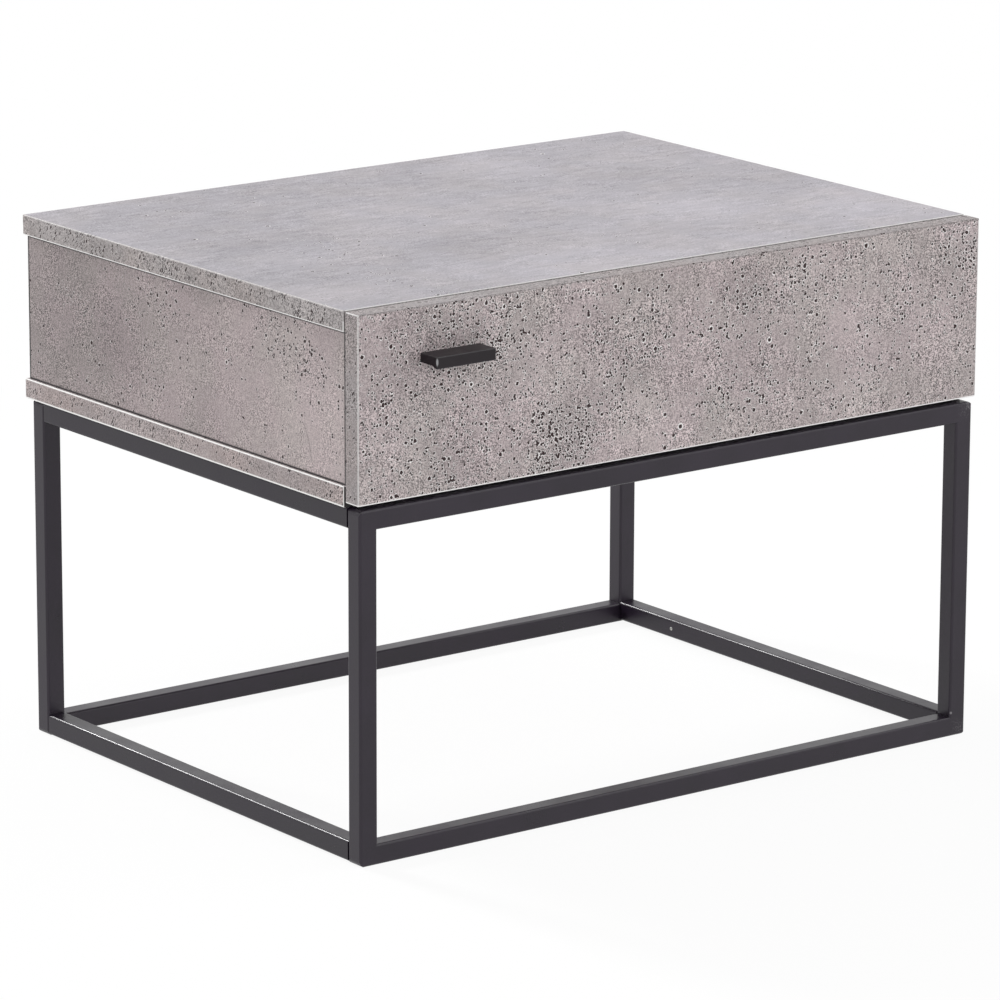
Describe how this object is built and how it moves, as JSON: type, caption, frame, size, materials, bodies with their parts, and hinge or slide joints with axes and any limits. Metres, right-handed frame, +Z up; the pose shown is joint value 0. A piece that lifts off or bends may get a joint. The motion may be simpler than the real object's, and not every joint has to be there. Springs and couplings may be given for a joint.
{
  "type": "side table with drawer",
  "caption": "Low rectangular side table: a concrete-look board body with a full-width drawer and small black pull, on an open cube frame of black square steel tube.",
  "frame": {"origin": "on the floor, at the middle of the table's width and of its depth over the handle", "axes": "+X to the right for someone facing the drawer, +Y from the drawer to the back, +Z up"},
  "size_m": [0.6, 0.4724, 0.422],
  "materials": {
    "concrete_board": "chipboard faced with matt concrete-look melamine, warm grey with dark pits",
    "board_edging": "concrete-look edging strip, matt, slightly greener than the facing",
    "drawer_board": "chipboard faced with plain mid-grey melamine",
    "fibreboard": "thin hardboard with a plain grey printed face",
    "frame_steel": "satin near-black powder coat with a fine orange-peel texture",
    "handle_metal": "matt black coated metal",
    "plated_steel": "bright zinc plating",
    "beech": "plain beech dowel",
    "soft_pad": "translucent soft pad",
    "runner_steel": "white epoxy-coated steel sheet",
    "wheel_plastic": "white nylon"
  },
  "bodies": {
    "table": {"back_panel": "concrete_board", "body_cam_bolts": "plated_steel", "body_cam_locks": "plated_steel", "body_dowels": "beech", "body_runner_left": "runner_steel", "body_runner_right": "runner_steel", "body_runner_screws": "plated_steel", "bottom_panel": "concrete_board", "bottom_panel_edging": "board_edging", "closing_pads": "soft_pad", "frame_bolts": "plated_steel", "front_bottom_rail": "frame_steel", "front_left_leg": "frame_steel", "front_right_leg": "frame_steel", "front_top_rail": "frame_steel", "front_wheel_pins": "plated_steel", "left_bottom_side_rail": "frame_steel", "left_top_side_rail": "frame_steel", "rail_grub_screws": "plated_steel", "rail_spigots": "plated_steel", "rear_bottom_rail": "frame_steel", "rear_left_leg": "frame_steel", "rear_right_leg": "frame_steel", "rear_top_rail": "frame_steel", "right_bottom_side_rail": "frame_steel", "right_top_side_rail": "frame_steel", "side_panel_edging": "board_edging", "side_panel_left": "concrete_board", "side_panel_right": "concrete_board", "threaded_inserts": "plated_steel", "top_panel": "concrete_board", "top_panel_edging": "board_edging"},
    "drawer": {"drawer_front": "concrete_board", "drawer_front_edging": "board_edging", "drawer_side_left": "drawer_board", "drawer_side_right": "drawer_board", "drawer_back": "drawer_board", "drawer_floor": "fibreboard", "drawer_cam_locks": "plated_steel", "drawer_cam_bolts": "plated_steel", "drawer_back_screws": "plated_steel", "handle": "handle_metal", "handle_screws": "plated_steel", "drawer_runner_left": "runner_steel", "drawer_runner_right": "runner_steel", "drawer_runner_screws": "plated_steel", "rear_wheel_pins": "plated_steel"},
    "front_wheel_left": {"front_wheel_left": "wheel_plastic"},
    "front_wheel_right": {"front_wheel_right": "wheel_plastic"},
    "rear_wheel_left": {"rear_wheel_left": "wheel_plastic"},
    "rear_wheel_right": {"rear_wheel_right": "wheel_plastic"}
  },
  "joints": [
    {"name": "drawer_slide", "type": "slide", "parent": "table", "child": "drawer", "axis": [0, -1, 0], "range_m": [0, 0.3]},
    {"name": "front_wheel_left_spin", "type": "hinge", "parent": "table", "child": "front_wheel_left", "pos_m": [-0.2755, -0.18275, 0.3467], "axis": [1, 0, 0], "range_deg": [0, 2026]},
    {"name": "front_wheel_right_spin", "type": "hinge", "parent": "table", "child": "front_wheel_right", "pos_m": [0.2755, -0.18275, 0.3467], "axis": [1, 0, 0], "range_deg": [0, 2026]},
    {"name": "rear_wheel_left_spin", "type": "hinge", "parent": "drawer", "child": "rear_wheel_left", "pos_m": [-0.2755, 0.18825, 0.3448], "axis": [1, 0, 0], "range_deg": [0, 2026]},
    {"name": "rear_wheel_right_spin", "type": "hinge", "parent": "drawer", "child": "rear_wheel_right", "pos_m": [0.2755, 0.18825, 0.3448], "axis": [1, 0, 0], "range_deg": [0, 2026]}
  ],
  "couplings": [
    {"joint": "front_wheel_left_spin", "follows": "drawer_slide", "rad_per_m": 117.65},
    {"joint": "front_wheel_right_spin", "follows": "drawer_slide", "rad_per_m": 117.65},
    {"joint": "rear_wheel_left_spin", "follows": "drawer_slide", "rad_per_m": 117.65},
    {"joint": "rear_wheel_right_spin", "follows": "drawer_slide", "rad_per_m": 117.65}
  ]
}
